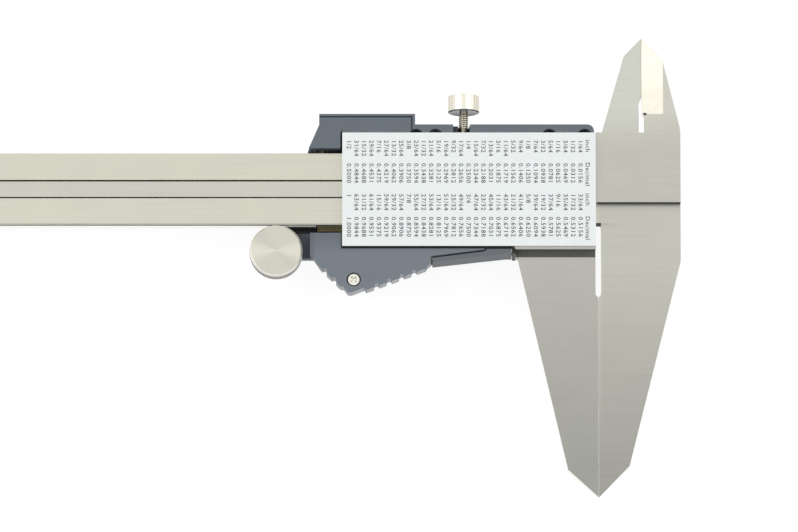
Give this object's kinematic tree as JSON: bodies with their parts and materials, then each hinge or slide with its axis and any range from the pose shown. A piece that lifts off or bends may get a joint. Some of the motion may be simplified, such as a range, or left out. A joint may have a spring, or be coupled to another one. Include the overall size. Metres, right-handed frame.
{
  "type": "digital caliper",
  "caption": "Steel slide caliper with long slim jaws, small inside jaws, depth rod, thumb roller, lock screw and a plastic display housing; rests with its back up.",
  "frame": {"origin": "middle of the closed caliper's bounding box, at the height of the display rim that it rests on", "axes": "+X along the beam towards the fixed jaw, +Y towards the inside jaws, +Z out of the back plate, away from the display"},
  "size_m": [0.4, 0.1024, 0.0154],
  "materials": {
    "ground_steel": "ground, fine parallel lines",
    "turned_steel": "turned face, knurled rim",
    "bright_screw": "nickel plated",
    "screw_steel": "zinc plated",
    "black_steel": "blackened",
    "brass": "plain",
    "printed_plate": "white lacquer, grey print",
    "scale_print": "printed foil",
    "circuit_board": "solder mask",
    "black_resin": "potting resin",
    "grey_plastic": "moulded, fine texture",
    "dark_plastic": "moulded, fine texture",
    "clear_window": "clear acrylic",
    "display_glass": "display glass",
    "black_rubber": "silicone",
    "pale_rubber": "silicone",
    "red_button": "moulded",
    "grey_button": "moulded",
    "yellow_button": "moulded",
    "cell_steel": "nickel plated"
  },
  "bodies": {
    "beam": {"beam": "ground_steel", "scale_board": "circuit_board", "scale_film": "scale_print", "end_stop": "ground_steel", "end_stop_screws": "screw_steel"},
    "slider": {"slider_frame": "ground_steel", "conversion_plate": "printed_plate", "depth_rod": "ground_steel", "rod_rivets": "screw_steel", "gib_strip": "brass", "gib_screws": "black_steel", "keeper_plate": "ground_steel", "reader_board": "circuit_board", "reader_chip": "black_resin", "housing_rear": "grey_plastic", "housing_front": "dark_plastic", "display_window": "clear_window", "display_panel": "display_glass", "display_connector": "black_rubber", "battery_contacts": "brass", "case_screws": "screw_steel", "grip_screw": "bright_screw", "key_mat": "pale_rubber", "wheel_axle": "screw_steel"},
    "thumb_wheel": {"thumb_wheel": "turned_steel"},
    "lock_shoe": {"lock_shoe": "brass"},
    "lock_screw": {"lock_screw": "bright_screw"},
    "power_button": {"power_button": "red_button"},
    "unit_button": {"unit_button": "grey_button"},
    "zero_button": {"zero_button": "yellow_button"},
    "battery_tray": {"battery_tray": "grey_plastic", "battery_cell": "cell_steel"}
  },
  "joints": [
    {"name": "slider_slide", "type": "slide", "parent": "beam", "child": "slider", "axis": [-1, 0, 0], "range_m": [0, 0.3]},
    {"name": "thumb_wheel_roll", "type": "hinge", "parent": "slider", "child": "thumb_wheel", "pos_m": [0.1118, 0.00358, 0.0116], "axis": [0, 0, 1], "continuous": true},
    {"name": "lock_lift", "type": "slide", "parent": "slider", "child": "lock_shoe", "axis": [0, 1, 0], "range_m": [0, 0.00045]},
    {"name": "lock_turn", "type": "hinge", "parent": "lock_shoe", "child": "lock_screw", "pos_m": [0.1527, 0.03742, 0.0116], "axis": [0, 1, 0], "range_deg": [0, 360]},
    {"name": "battery_tray_slide", "type": "slide", "parent": "slider", "child": "battery_tray", "axis": [0, -1, 0], "range_m": [0, 0.016]},
    {"name": "power_button_press", "type": "slide", "parent": "slider", "child": "power_button", "axis": [0, 0, 1], "range_m": [0, 0.0005], "stiffness_N_per_m": 300},
    {"name": "unit_button_press", "type": "slide", "parent": "slider", "child": "unit_button", "axis": [0, 0, 1], "range_m": [0, 0.0005], "stiffness_N_per_m": 300},
    {"name": "zero_button_press", "type": "slide", "parent": "slider", "child": "zero_button", "axis": [0, 0, 1], "range_m": [0, 0.0005], "stiffness_N_per_m": 300}
  ],
  "couplings": [
    {"joint": "thumb_wheel_roll", "follows": "slider_slide", "rad_per_m": -170.94},
    {"joint": "lock_turn", "follows": "lock_lift", "rad_per_m": 13963}
  ]
}
